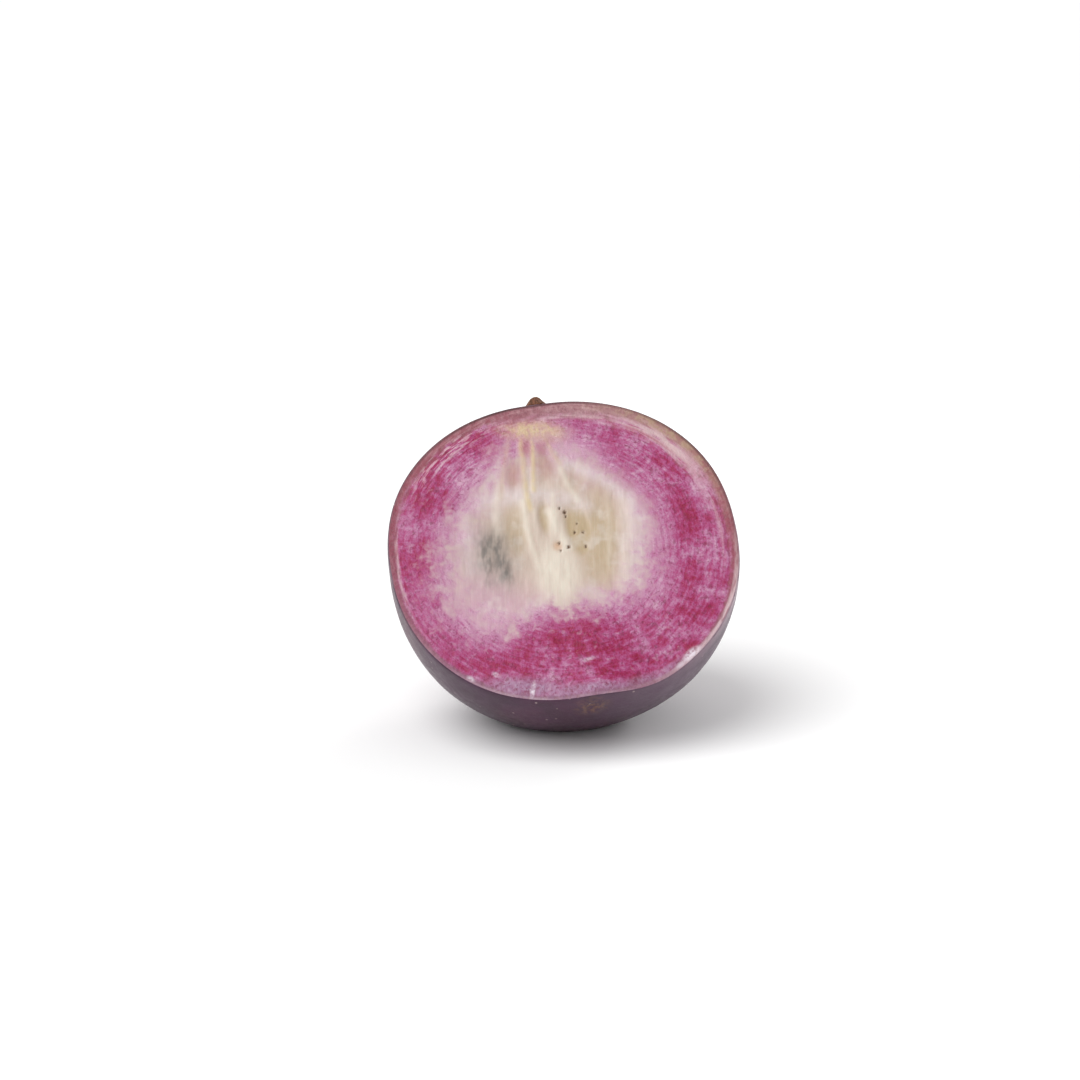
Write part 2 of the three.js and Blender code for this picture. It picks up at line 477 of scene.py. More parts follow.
# The marks of each layer of the cut face. A layer has as much as the strongest of its marks.
MARKS = {
    "crown": (Side(90, 45, 1.0),),
    "ochre": (RimLine(-1.0, 2.2, 0.8, 50, 26, 1.0),),
    "ruddy": (Side(122, 24, 1.0),),
    "low_rim": (Side(265, 62, 1.0),),
    "dark_edge": every(Side, (110, 48, 1.0), (40, 40, 0.7)),
    "pale_rim": PALE_LINES,
    "flecked_rim": (RimLine(1.8, 5.2, 0.9, 138, 18, 1.0),),
    "dark_rim": (RimLine(4.6, 5.0, 0.4, 58, 16, 1.0),),
    "crisp": (Side(48, 28, 1.0),),
    "streaked": every(Side, (138, 26, 1.0), (52, 26, 0.7), (0, math.inf, 0.35)),
    "hollow": HOLLOWS,
    "haze": HAZE,
    "cream": (*WALLS, CONE),
    "fibre": (*FIBRES, STEM_PATCH),
    "fibre_blush": FIBRE_BLUSH,
    "ripe": RIPEST,
    "pale": PALEST,
    "fleck": FLECKS,
    "lavender": LAVENDER,
    "blush": BLUSH,
    "speck": SPECKS,
    "stain": (STAIN,),
}


def heart_share(u, w):
    """Distance from the heart's middle as a share of the heart's own reach in that direction."""
    across, up = u - HEART_MIDDLE[0], w - HEART_MIDDLE[1]
    step = np.mod(np.arctan2(up, across), 2 * math.pi) / (2 * math.pi) * len(HEART_REACH)
    before = np.floor(step).astype(int)
    reach = np.array(HEART_REACH)
    y0, y1, y2, y3 = (reach[(before + i) % len(reach)] for i in (-1, 0, 1, 2))
    t = step - before
    bow = 0.5 * (2 * y1 + (y2 - y0) * t + (2 * y0 - 5 * y1 + 4 * y2 - y3) * t ** 2
                 + (3 * y1 - y0 - 3 * y2 + y3) * t ** 3)
    return np.hypot(across, up) / bow


def cut_face_layers(u, w, edge):
    """Every layer of the cut face as a named amount at each place. edge is the distance in from the rim."""
    layers = {}
    for name, marks in MARKS.items():
        layers[name] = np.max([mark.at(u, w, edge) for mark in marks], axis=0)
    layers["heart"] = heart_share(u, w)
    layers["edge"] = edge
    layers["rind"] = edge / (THINNEST_RIND + sum(swell.at(u, w, edge) for swell in RIND_SWELLS))
    layers["seed"] = np.clip(sum(shadow.at(u, w, edge) for shadow in SEED_SHADOW), 0.0, 1.0)
    return layers


# Relief of the cut face in millimetres: what sinks is more than 0, and what stands up is less.
HEART_SINK = 0.45
HOLLOW_SINK = 0.30
LAYER_SINKS = {"cream": -0.12, "fibre": -0.12, "seed": -0.25, "speck": 0.35}
GROOVE_SINK = 0.12      # between the flesh and the rind
SWELLS = 0.16           # slow rise and fall
RIPPLES = 0.07          # fine rise and fall, drawn out up the face
RIPPLE_STRETCH = np.array((1.0, 1.0, 0.45))


def cut_face_relief(u, w, layers):
    """How far the cut face sinks (+) or stands up (-) at each place, in millimetres."""
    flat = np.stack([u, np.zeros_like(u), w], 1)
    inside = smooth(layers["edge"], 0.2, 2.5)
    sink = HEART_SINK * (1.0 - smooth(layers["heart"], 0.6, 1.15))
    sink += HOLLOW_SINK * layers["hollow"] * (1.0 - 0.7 * layers["cream"])
    for name, depth in LAYER_SINKS.items():
        sink += depth * layers[name]
    sink += SWELLS * fractal(flat, 11.0, 3, 1.0)
    sink += RIPPLES * fractal(flat * RIPPLE_STRETCH, 1.6, 3, 2.0)
    groove = np.exp(-((layers["rind"] - 1.1) / 0.22) ** 2)
    return inside * (sink + GROOVE_SINK * groove)


# ------------------------------------------------------------
# Modelling helpers
# ------------------------------------------------------------

def deselect_everything():
    if bpy.context.object and bpy.context.object.mode != "OBJECT":
        bpy.ops.object.mode_set(mode="OBJECT")
    bpy.ops.object.select_all(action="DESELECT")


def vertex_places(mesh):
    places = np.empty(len(mesh.vertices) * 3)
    mesh.vertices.foreach_get("co", places)
    return places.reshape(-1, 3)


def place_vertices(mesh, places):
    mesh.vertices.foreach_set("co", np.ascontiguousarray(places, dtype=np.float64).ravel())
    mesh.update()


def store_layer(mesh, name, values):
    layer = mesh.attributes.new(name, "FLOAT", "POINT")
    layer.data.foreach_set("value", np.ascontiguousarray(values, dtype=np.float32))


def faces_outwards():
    """Turns the active piece's faces outwards and shades it smooth."""
    bpy.ops.object.mode_set(mode="EDIT")
    bpy.ops.mesh.select_all(action="SELECT")
    bpy.ops.mesh.normals_make_consistent(inside=False)
    bpy.ops.object.mode_set(mode="OBJECT")
    bpy.ops.object.shade_smooth()


def round_bearing(across, up):
    """Square sheet to round disc: the bearing of each place, evenly spread along the square's edge."""
    wide = np.abs(across) >= np.abs(up)
    safe_across = np.where(np.abs(across) < 1e-9, 1e-9, across)
    safe_up = np.where(np.abs(up) < 1e-9, 1e-9, up)
    sideways = math.pi / 4 * up / safe_across + np.where(across < 0, math.pi, 0.0)
    upwards = math.pi / 2 - math.pi / 4 * across / safe_up + np.where(up < 0, math.pi, 0.0)
    return np.where(wide, sideways, upwards)


# ------------------------------------------------------------
# Fruit half
# ------------------------------------------------------------

ROUND_RINGS = 3         # mesh rings round the skin's edge
RING_STEP = 1.0         # depth of a ring before the sack is wrapped round the fruit
SKIN_LUMPS = 0.22       # height of the skin's slow lumps, in millimetres
LUMP_SIZE = 24          # millimetres across
CREASES = 9             # creases in the skin round the stalk
CREASE_DEPTH = 0.16
SCAR_RIM = 0.35         # the ring round the scar of the flower stands up so far
SCAR_PIT = 0.45         # and its middle sinks so far
FOOT_TURN = 0.3         # softness of the turn at the edge of the flat spot, in millimetres
# Where the knife strayed along the rim: bearing and spread in degrees, millimetres towards the back.
KNIFE_STRAYS = (
    (-57.0, 13.0, 1.6), (-79.0, 10.0, -0.8), (-112.0, 16.0, 0.5), (150.0, 18.0, 0.5), (25.0, 16.0, -0.5),
)


def knife_stray(bearing):
    """How far behind its plane the cut passes, at each bearing along the rim."""
    u, w = np.cos(bearing), np.sin(bearing)
    return MM * sum(stray * facing(u, w, middle, spread) for middle, spread, stray in KNIFE_STRAYS)


def model_sack(cells, rings):
    """A square sheet whose edge is drawn back ring by ring and gathered to a point: one closed body."""
    deselect_everything()
    upright = (math.pi / 2, 0.0, 0.0)
    bpy.ops.mesh.primitive_grid_add(x_subdivisions=cells, y_subdivisions=cells, size=2.0, rotation=upright)
    bpy.ops.object.transform_apply(location=False, rotation=True, scale=False)
    piece = bpy.context.object
    bpy.ops.object.mode_set(mode="EDIT")
    bpy.ops.mesh.select_mode(type="EDGE")
    bpy.ops.mesh.select_all(action="SELECT")
    bpy.ops.mesh.region_to_loop()
    for _ in range(rings):
        bpy.ops.mesh.extrude_region_move(TRANSFORM_OT_translate={"value": (0.0, RING_STEP, 0.0)})
    bpy.ops.mesh.merge(type="CENTER")
    bpy.ops.object.mode_set(mode="OBJECT")
    return piece


def wrap_fruit(sack, rings, pose):
    """Places of the sack's vertices on the half fruit, in the leaning frame, and its ring numbers."""
    size = pose.size
    across, up = sack[:, 0], sack[:, 2]
    ring = np.rint(sack[:, 1] / RING_STEP).astype(int)
    share = np.clip(np.maximum(np.abs(across), np.abs(up)), 0.0, 1.0)
    bearing = round_bearing(across, up)

    stray = knife_stray(bearing)
    face_depth = stray - size.knife_offset
    rim = slice_radius(bearing, face_depth, pose)
    out = share * (rim - size.rim_round)
    depth = stray * share ** 3 - size.knife_offset

    for step in range(1, ROUND_RINGS + 1):
        lip = math.pi / 2 * step / ROUND_RINGS
        on_ring = ring == step
        back = face_depth[on_ring] + size.rim_round * (1.0 - math.cos(lip))
        edge = slice_radius(bearing[on_ring], back, pose)
        out[on_ring] = edge - size.rim_round * (1.0 - math.sin(lip))
        depth[on_ring] = back

    behind = ring > ROUND_RINGS
    first_depth = face_depth[behind] + size.rim_round
    first_out = slice_radius(bearing[behind], first_depth, pose)
    start = np.arctan2(first_out, first_depth)
    angle = start * (1.0 - (ring[behind] - ROUND_RINGS) / (rings - ROUND_RINGS))
    ways = np.stack([np.sin(angle) * np.cos(bearing[behind]), np.cos(angle),
                     np.sin(angle) * np.sin(bearing[behind])], 1)
    reach = skin_reach(ways, pose)
    out[behind] = reach * np.sin(angle)
    depth[behind] = reach * np.cos(angle)

    points = np.stack([out * np.cos(bearing), depth, out * np.sin(bearing)], 1)
    return stem_dimple(points, pose), ring, rim * (1.0 - share)


def skin_relief(points, pose):
    """How far the skin stands out: slow lumps, creases round the stalk, and the scar of the flower."""
    along = points @ pose.stem
    side = points - along[:, None] * pose.stem
    across = np.linalg.norm(side, axis=1) / MM
    bearing = np.arctan2(side[:, 1], side[:, 0] * pose.stem[2] - side[:, 2] * pose.stem[0])
    lumps = SKIN_LUMPS * fractal(points, LUMP_SIZE * MM, 3, 4.0)
    near_stalk = np.exp(-((across - 9.0) / 6.0) ** 2) * (along > 0)
    folds = np.maximum(0.0, np.cos(bearing * CREASES + 3 * np.sin(bearing * 2))) ** 3
    scar_rim = SCAR_RIM * np.exp(-((across - 2.1) / 0.8) ** 2)
    scar_pit = SCAR_PIT * np.exp(-(across / 1.3) ** 2)
    return MM * (lumps - CREASE_DEPTH * near_stalk * folds + (along < 0) * (scar_rim - scar_pit))


def skin_layers(points, pose):
    """Layers of the skin at each place: a painted sheen along the right edge of the cut, low down, and
    painted light on the skin below it.
    """
    back = (points[:, 1] + pose.size.knife_offset) / MM
    u, w = points[:, 0], points[:, 2]
    return {
        "painted_sheen_edge": facing(u, w, -16, 30) * (1.0 - smooth(back, 0.4, 4.2)),
        "painted_light": facing(u, w, -44, 26) * (1.0 - smooth(back, 6.0, 24.0)),
    }


def press_foot(world):
    """Flattens what would be under the floor, with a soft turn at the edge of the flat spot."""
    height = world[:, 2]
    world[:, 2] = (height + np.sqrt(height ** 2 + (FOOT_TURN * MM) ** 2)) / 2
    return world


def check_fit(name, piece):
    """Raises an error unless the finished piece fills the space that the construction gives it."""
    low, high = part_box(name)
    places = vertex_places(piece.data)
    off = max(np.abs(places.min(0) - np.array(low)).max(), np.abs(places.max(0) - np.array(high)).max())
    if off > FIT_TOLERANCE:
        raise RuntimeError(f"{name} is {off / MM:.2f} mm off the construction's box")


class STARAPPLE_OT_fruit_half(bpy.types.Operator):
    """Models the half fruit: skin, cut face with its heart and rind, and the flat spot it rests on"""
    bl_idname = "star_apple.fruit_half"
    bl_label = "Fruit Half"
    bl_options = {"REGISTER", "UNDO"}

    def execute(self, context):
        settings = context.scene.star_apple
        size = settings.fruit
        pose = Pose(size)
        cells = size.face_cells - size.face_cells % 2
        piece = model_sack(cells, size.skin_rings)
        piece.name = piece.data.name = "star_apple_half"
        sack = vertex_places(piece.data)
        points, ring, edge = wrap_fruit(sack, size.skin_rings, pose)

        on_face = ring == 0
        u, w = points[on_face, 0] / MM, points[on_face, 2] / MM
        layers = cut_face_layers(u, w, edge[on_face] / MM)
        points[on_face, 1] += cut_face_relief(u, w, layers) * MM

        on_skin = ring > ROUND_RINGS
        outwards = points[on_skin] / np.linalg.norm(points[on_skin], axis=1)[:, None]
        points[on_skin] += outwards * skin_relief(points[on_skin], pose)[:, None]

        for name, amounts in layers.items():
            values = np.zeros(len(points))
            values[on_face] = amounts
            store_layer(piece.data, name, values)
        for name, amounts in skin_layers(points, pose).items():
            store_layer(piece.data, name, amounts)
        place_vertices(piece.data, press_foot(pose.to_world(points)))

        piece.data.materials.append(skin_material(settings, pose))
        piece.data.materials.append(flesh_material(settings, pose))
        piece.data.polygons.foreach_set("material_index", cut_faces(piece.data, ring))
        faces_outwards()

        check_fit("fruit_half", piece)
        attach(piece, BODY)
        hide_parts("fruit_half")
        return {"FINISHED"}


def cut_faces(mesh, ring):
    """1 for each face of the cut, all of whose corners are on the sheet, and 0 for the skin."""
    return [int(all(ring[v] == 0 for v in face.vertices)) for face in mesh.polygons]


# ------------------------------------------------------------
# Stalk stub
# ------------------------------------------------------------

STALK_SIDES = 60
LOBES = 5
LOBE_GAPS = 0.38        # how far the gaps between sepals cut in, as a share of their reach
RIDGE_DEPTH = 0.07      # depth of the ridges in the bark, as a share of the radius there
BREAK_DEPTH = 0.07      # unevenness of the broken end, as a share of the height
# Height up the stalk and radius there, as shares of its height and of its radius.
STALK_PROFILE = (
    (0.06, 1.7), (0.14, 1.56), (0.26, 1.42), (0.42, 1.22), (0.58, 1.02), (0.74, 0.84), (0.88, 0.7),
    (0.95, 0.62), (1.0, 0.52), (0.985, 0.4), (0.94, 0.22),
)


class STARAPPLE_OT_stalk_stub(bpy.types.Operator):
    """Models the short broken stalk: ridged bark, a pale broken end and the dry sepals at its foot"""
    bl_idname = "star_apple.stalk_stub"
    bl_label = "Stalk Stub"
    bl_options = {"REGISTER", "UNDO"}

    def execute(self, context):
        settings = context.scene.star_apple
        size = settings.stalk
        pose = Pose(settings.fruit)
        deselect_everything()
        bpy.ops.mesh.primitive_circle_add(vertices=STALK_SIDES, radius=size.lobe_reach, fill_type="NGON")
        piece = bpy.context.object
        piece.name = piece.data.name = "stalk_stub_bark"
        bpy.ops.object.mode_set(mode="EDIT")
        bpy.ops.mesh.select_all(action="SELECT")
        height, radius = 0.0, size.lobe_reach
        for share, width in STALK_PROFILE:
            rise = share * size.height - height
            bpy.ops.mesh.extrude_region_move(TRANSFORM_OT_translate={"value": (0.0, 0.0, rise)})
            grow = width * size.radius / radius
            bpy.ops.transform.resize(value=(grow, grow, 1.0))
            height, radius = share * size.height, width * size.radius
        bpy.ops.mesh.merge(type="CENTER")
        bpy.ops.mesh.select_all(action="SELECT")
        bpy.ops.mesh.subdivide(number_cuts=1, smoothness=0.0)
        bpy.ops.object.mode_set(mode="OBJECT")

        places = weather_stalk(vertex_places(piece.data), size)
        foot = settings.fruit.half_length - settings.fruit.dimple_depth
        stem_side = np.array((math.cos(settings.fruit.roll), 0.0, math.sin(settings.fruit.roll)))
        deep = np.array((0.0, 1.0, 0.0))
        points = places @ np.stack((stem_side, deep, pose.stem)) + foot * pose.stem
        place_vertices(piece.data, pose.to_world(points))
        store_layer(piece.data, "stalk_height", places[:, 2] / size.height)
        store_layer(piece.data, "stalk_radius", np.hypot(places[:, 0], places[:, 1]) / size.radius)
        store_layer(piece.data, "stalk_bearing", np.arctan2(places[:, 1], places[:, 0]))
        piece.data.materials.append(bark_material(settings))
        faces_outwards()
        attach(piece, BODY)
        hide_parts("stalk_stub")
        return {"FINISHED"}


def weather_stalk(places, size):
    """Draws the foot out into sepals, ridges the bark and breaks the top unevenly."""
    bearing = np.arctan2(places[:, 1], places[:, 0])
    share = places[:, 2] / size.height
    low = 1.0 - smooth(share, 0.0, 0.2)
    lobes = 0.5 + 0.5 * np.cos(LOBES * bearing + 0.6)
    grow = 1.0 - low * LOBE_GAPS * (1.0 - lobes)
    ridges = fractal(np.stack([np.cos(bearing) * 2.6, np.sin(bearing) * 2.6, share * 0.9], 1), 1.0, 4, 6.0)
    grow += RIDGE_DEPTH * ridges * (0.3 + smooth(share, 0.1, 0.4))
    places[:, 0] *= grow
    places[:, 1] *= grow
    top = smooth(share, 0.82, 1.0)
    tilt = 0.10 * places[:, 0] / size.radius - 0.06 * places[:, 1] / size.radius
    rough = BREAK_DEPTH * fractal(places, 0.9 * MM, 3, 8.0)
    places[:, 2] += size.height * top * (tilt + rough - 0.05)
    return places


# ------------------------------------------------------------
# Materials
# ------------------------------------------------------------

FIBRE_ARC = 25          # millimetres out from the middle, where the spacing of the fibres holds good
PORE_SPACING = 2.4      # millimetres from pore to pore


class Shader:
    """Adds nodes to one material and joins them, so that each finish reads as a short recipe.

    A value in a recipe is a number, a colour, a node's output, or the name of a layer of the mesh.
    """

    def __init__(self, name):
        self.material = bpy.data.materials.new(name)
        self.material.use_nodes = True
        self.tree = self.material.node_tree
        self.surface = self.tree.nodes["Principled BSDF"]

    def node(self, kind, **settings):
        made = self.tree.nodes.new(kind)
        for name, value in settings.items():
            setattr(made, name, value)
        return made

    def feed(self, socket, value):
        if isinstance(value, str):
            value = self.node("ShaderNodeAttribute", attribute_name=value).outputs["Fac"]
        if isinstance(value, bpy.types.NodeSocket):
            self.tree.links.new(value, socket)
        elif socket.type == "RGBA":
            socket.default_value = (*value, 1.0)
        else:
            socket.default_value = value

    def tune(self, node, **values):
        """Feeds a node's inputs by name, with underscores for the spaces."""
        for name, value in values.items():
            self.feed(node.inputs[name.replace("_", " ")], value)

    def finish(self, **values):
        """Feeds the surface and gives the finished material."""
        self.tune(self.surface, **values)
        return self.material

    def maths(self, operation, *values):
        made = self.node("ShaderNodeMath", operation=operation)
        for socket, value in zip(made.inputs, values):
            self.feed(socket, value)
        return made.outputs[0]

    def times(self, first, second):
        return self.maths("MULTIPLY", first, second)

    def plus(self, first, second):
        return self.maths("ADD", first, second)

    def minus(self, first, second):
        return self.maths("SUBTRACT", first, second)

    def length(self, first, second):
        """Length of the sloping side over two sides at a right angle."""
        return self.maths("SQRT", self.plus(self.times(first, first), self.times(second, second)))

    def mix(self, share, first, second, kind="Color"):
        """From the first colour to the second as share goes from 0 to 1."""
        made = self.node("ShaderNodeMix", data_type={"Color": "RGBA", "Float": "FLOAT"}[kind])
        sockets = {socket.identifier: socket for socket in (*made.inputs, *made.outputs)}
        self.feed(sockets["Factor_Float"], share)
        self.feed(sockets[f"A_{kind}"], first)
        self.feed(sockets[f"B_{kind}"], second)
        return sockets[f"Result_{kind}"]

    def mix_value(self, share, first, second):
        """From the first number to the second as share goes from 0 to 1."""
        return self.mix(share, first, second, "Float")

    def lay(self, under, over, share, strength=None):
        """Lays one colour over another by a share, which strength can weaken."""
        if strength is not None:
            share = self.times(share, strength)
        return self.mix(share, under, over)

    def step(self, value, low, high, to_low=0.0, to_high=1.0):
        """A soft step from to_low to to_high, as value goes from low to high."""
        made = self.node("ShaderNodeMapRange", interpolation_type="SMOOTHSTEP")
        self.tune(made, Value=value, From_Min=low, From_Max=high, To_Min=to_low, To_Max=to_high)
        return made.outputs["Result"]

    def lumps(self, place, millimetres, detail=3.0, roughness=0.55, distortion=0.0):
        """Noise from 0 to 1 with lumps about that many millimetres across."""
        made = self.node("ShaderNodeTexNoise")
        self.tune(made, Vector=place, Scale=1.0 / (millimetres * MM), Detail=detail, Roughness=roughness,
                  Distortion=distortion)
        return made.outputs["Fac"]

    def weighed(self, *noises):
        """A weighted sum of noises, each taken from its middle value of a half."""
        total = None
        for value, weight in noises:
            part = self.times(self.minus(value, 0.5), weight)
            total = part if total is None else self.plus(total, part)
        return total

    def stretched(self, place, stretch):
        made = self.node("ShaderNodeVectorMath", operation="MULTIPLY")
        self.feed(made.inputs[0], place)
        self.feed(made.inputs[1], stretch)
        return made.outputs[0]

    def ramp(self, value, stops):
        """The colour at a value, from stops that each have a place and a colour."""
        made = self.node("ShaderNodeValToRGB")
        self.tune(made, Fac=value)
        elements = made.color_ramp.elements
        while len(elements) < len(stops):
            elements.new(1.0)
        for element, (place, shade) in zip(elements, stops):
            element.position = place
            element.color = (*shade, 1.0)
        return made.outputs["Color"]

    def bump(self, height, millimetres, strength):
        made = self.node("ShaderNodeBump")
        self.tune(made, Height=height, Distance=millimetres * MM, Strength=strength)
        return made.outputs["Normal"]

    def turned(self, place, **values):
        made = self.node("ShaderNodeMapping", vector_type="TEXTURE")
        self.tune(made, Vector=place, **values)
        return made.outputs["Vector"]

    def place_in(self, pose):
        """Object coordinates turned into the leaning frame, from the fruit's middle."""
        place = self.node("ShaderNodeTexCoord").outputs["Object"]
        return self.turned(place, Location=tuple(pose.centre), Rotation=(-pose.size.lean, 0.0, 0.0))

    def place_on_stem(self, pose):
        """The leaning frame rolled so that its Z runs along the stem axis."""
        return self.turned(self.place_in(pose), Rotation=(0.0, -pose.size.roll, 0.0))

    def parts(self, place):
        """The three coordinates of a place."""
        made = self.node("ShaderNodeSeparateXYZ")
        self.feed(made.inputs[0], place)
        return made.outputs

    def joined(self, **parts):
        """A place from its three coordinates."""
        made = self.node("ShaderNodeCombineXYZ")
        self.tune(made, **parts)
        return made.outputs[0]

    def polar(self, place, middle, along, across):
        """Coordinates for fibres that run out from a middle of the face, stretched by the two factors."""
        parts = self.parts(place)
        right = self.minus(parts["X"], middle[0] * MM)
        up = self.minus(parts["Z"], middle[1] * MM)
        bearing = self.maths("ARCTAN2", up, right)
        return self.joined(X=self.times(bearing, FIBRE_ARC * MM * across),
                           Y=self.times(self.length(right, up), along), Z=parts["Y"])


def flesh_noises(s, pose):
    """The textures of the flesh: plain ones from coarse to fine, then the stretched ones."""
    place = s.place_in(pose)
    return SimpleNamespace(
        clouds=s.lumps(place, 5.0, 3.0, 0.5),
        mottle=s.lumps(place, 2.0, 2.5, 0.55, 0.4),
        strokes=s.lumps(place, 1.3, 2.0, 0.6, 0.5),
        flecks=s.lumps(place, 1.1, 0.0),
        grain=s.lumps(place, 0.8, 2.0, 0.5),
        spots=s.lumps(place, 0.75, 1.0, 0.5),
        fine=s.lumps(place, 0.35, 1.0, 0.5),
        rays=s.lumps(s.polar(place, HEART_MIDDLE, 0.3, 1.0), 1.3, 2.5, 0.55),
        rounds=s.lumps(s.polar(place, (0.0, 0.0), 1.0, 0.2), 0.9, 2.5, 0.55),
        streaks=s.lumps(s.polar(place, (0.0, 0.0), 1.0, 0.3), 0.75, 2.0, 0.6),
        smudges=s.lumps(s.stretched(place, (1.0, 1.0, 0.4)), 1.2, 1.5, 0.5),
        upright=s.lumps(s.stretched(place, (1.0, 1.0, 0.16)), 1.9, 2.5, 0.5),
        threads=s.lumps(s.stretched(place, (1.0, 1.0, 0.12)), 0.7, 2.0, 0.55),
    )


def ring_colour(s, noises, shade, reach):
    """The ring of flesh. Its tone runs from 0, the ripest, to 1, the palest."""
    touch = FLESH_TOUCHES
    tone = s.weighed((noises.clouds, 0.9), (noises.mottle, 0.75), (noises.grain, 0.6), (noises.fine, 0.35),
                     (noises.rays, 0.7), (noises.rounds, 0.75))
    tone = s.plus(tone, s.times(s.weighed((noises.streaks, 1.5)), "streaked"))
    tone = s.times(tone, s.step(reach, 0.95, 1.25, 0.5, 1.0))
    tone = s.plus(tone, 0.54)
    tone = s.minus(tone, s.times("ripe", 0.3))
    tone = s.plus(tone, s.times("pale", 0.28))
    soft_glow = s.step(reach, 1.35, 0.95, 0.0, 0.24)
    crisp_glow = s.step(reach, 1.25, 0.95, 0.0, 0.12)
    tone = s.plus(tone, s.mix_value("crisp", soft_glow, crisp_glow))
    flesh = s.ramp(tone, ((0.0, shade.crimson), (0.22, shade.deep), (0.46, shade.magenta),
                          (0.76, shade.pale), (1.0, shade.palest)))
    bruise = s.mix(s.step(noises.grain, 0.32, 0.68), touch.bruise, shade.lavender)
    flesh = s.lay(flesh, bruise, "lavender")
    flecks = s.times(s.step(noises.flecks, 0.66, 0.78), s.step(noises.clouds, 0.45, 0.6))
    flesh = s.lay(flesh, touch.fleck, flecks, 0.3)
    strokes = s.step(noises.strokes, 0.46, 0.32, 0.0, 0.55)
    flesh = s.lay(flesh, touch.stroke, strokes, s.step(reach, 1.0, 1.3))
    spots = s.step(noises.spots, 0.40, 0.28, 0.0, 0.55)
    return s.lay(flesh, touch.spot, spots, s.step(reach, 0.95, 1.2))


def heart_colour(s, noises, shade, reach):
    """The clear heart: its halo, hollows, haze and walls of cream, and the shadow of the seed."""
    touch = FLESH_TOUCHES
    heart = s.mix(s.step(reach, 0.5, 0.95), shade.heart, shade.halo)
    heart = s.lay(heart, touch.blush, "blush", s.step(reach, 0.2, 0.7, 0.1, 0.85))
    heart = s.lay(heart, shade.hollow, "hollow", s.step(noises.upright, 0.36, 0.64, 1.0, 0.82))
    heart = s.lay(heart, touch.milk, s.step(noises.clouds, 0.5, 0.68, 0.0, 0.4))
    heart = s.lay(heart, touch.haze, "haze", s.step(noises.mottle, 0.3, 0.6, 0.6, 1.0))
    heart = s.lay(heart, shade.cream, "cream", s.step(noises.upright, 0.34, 0.55, 0.86, 1.0))
    heart = s.lay(heart, shade.cream, s.step(noises.threads, 0.52, 0.72, 0.0, 0.14))
    # painted shade: darker upright streaks stand for the shade in furrows of the jelly
    heart = s.lay(heart, touch.furrow_shade, s.step(noises.upright, 0.46, 0.30, 0.0, 0.18))
    return s.lay(heart, shade.seed, "seed", s.step(noises.smudges, 0.36, 0.64, 1.0, 0.6))


def rind_colour(s, noises, shade):
    """The rind: pale at the stem end, mauve low down and ruddy at the upper left."""
    touch = RIND_TOUCHES
    rind = s.mix("crown", shade.rind, shade.crown)
    rind = s.lay(rind, touch.mauve, "low_rim")
    rind = s.lay(rind, touch.ruddy, "ruddy", 0.85)
    crowned = s.step("crown", 0.0, 0.9, 0.3, 1.0)
    rind = s.lay(rind, touch.spot, s.step(noises.mottle, 0.42, 0.7, 0.0, 0.4), crowned)
    rind = s.lay(rind, touch.shadow, s.step(noises.grain, 0.5, 0.36, 0.0, 0.45))
    return s.lay(rind, touch.streak, s.step(noises.rounds, 0.5, 0.64, 0.0, 0.5), "crown")


def flesh_material(settings, pose):
    """Cut flesh: clear heart, pink halo, mottled magenta ring and a firm rind."""
    shade = settings.flesh
    s = Shader("cut_flesh")
    noises = flesh_noises(s, pose)
    mottle, grain, rounds, rays = noises.mottle, noises.grain, noises.rounds, noises.rays

    # how far out from the heart each place counts as, roughened where the heart ends
    rough = s.weighed((noises.clouds, 0.9), (mottle, 0.65), (rays, 0.16), (grain, 0.2))
    rough = s.plus(rough, s.times(s.weighed((rays, 0.25), (mottle, 0.4)), "low_rim"))
    rough = s.times(rough, s.mix_value("crisp", 1.0, 0.35))
    reach = s.plus("heart", s.times(rough, s.step("heart", 0.5, 0.95, 0.0, 0.85)))
    ring = s.mix_value("crisp", s.step(reach, 0.74, 1.18), s.step(reach, 0.82, 1.12))
    base = s.mix(ring, heart_colour(s, noises, shade, reach), ring_colour(s, noises, shade, reach))

    base = s.lay(base, shade.strand, "fibre", s.step(mottle, 0.36, 0.6, 0.5, 0.95))
    base = s.lay(base, FLESH_TOUCHES.fibre_blush, "fibre_blush", 0.7)
    base = s.lay(base, FLESH_TOUCHES.stain, "stain", 0.6)
    base = s.lay(base, FLESH_TOUCHES.speck, "speck")

    # rind, from the rim in
    touch = RIND_TOUCHES
    depth = s.plus("rind", s.weighed((mottle, 1.2), (rounds, 0.9), (grain, 0.5)))
    base = s.lay(base, rind_colour(s, noises, shade), s.step(depth, 1.5, 0.6))
    # the pale lines of the rind, and a painted highlight on the right edge of the rim
    pale_rim = s.mix("low_rim", touch.pale, touch.low_pale)
    base = s.lay(base, pale_rim, "pale_rim", s.step(rounds, 0.36, 0.56, 0.25, 1.0))
    base = s.lay(base, touch.rim_streak, "flecked_rim", s.step(noises.streaks, 0.46, 0.6, 0.0, 0.75))
    base = s.lay(base, shade.deep, "dark_rim", s.step(rounds, 0.42, 0.56))
    base = s.lay(base, shade.ochre, "ochre", s.step(mottle, 0.38, 0.56, 0.4, 1.0))
    base = s.lay(base, touch.fleck, "fleck", s.step(grain, 0.36, 0.56, 0.3, 0.9))
    base = s.lay(base, touch.skin_line, s.step("edge", 0.75, 0.25), "dark_edge")

    inside = s.step("heart", 1.02, 0.82)
    uneven = s.weighed((mottle, 0.8), (grain, 0.9), (noises.fine, 0.3))
    height = s.mix_value(ring, s.times(noises.threads, 0.15), uneven)
    return s.finish(
        Base_Color=base, Roughness=s.mix_value(inside, s.step(grain, 0.4, 0.6, 0.42, 0.62), 0.36),
        Specular_IOR_Level=0.35, Subsurface_Weight=0.10, Subsurface_Radius=(1.0, 0.6, 0.6),
        Subsurface_Scale=1.2 * MM, Normal=s.bump(height, 0.3, 0.9),
    )


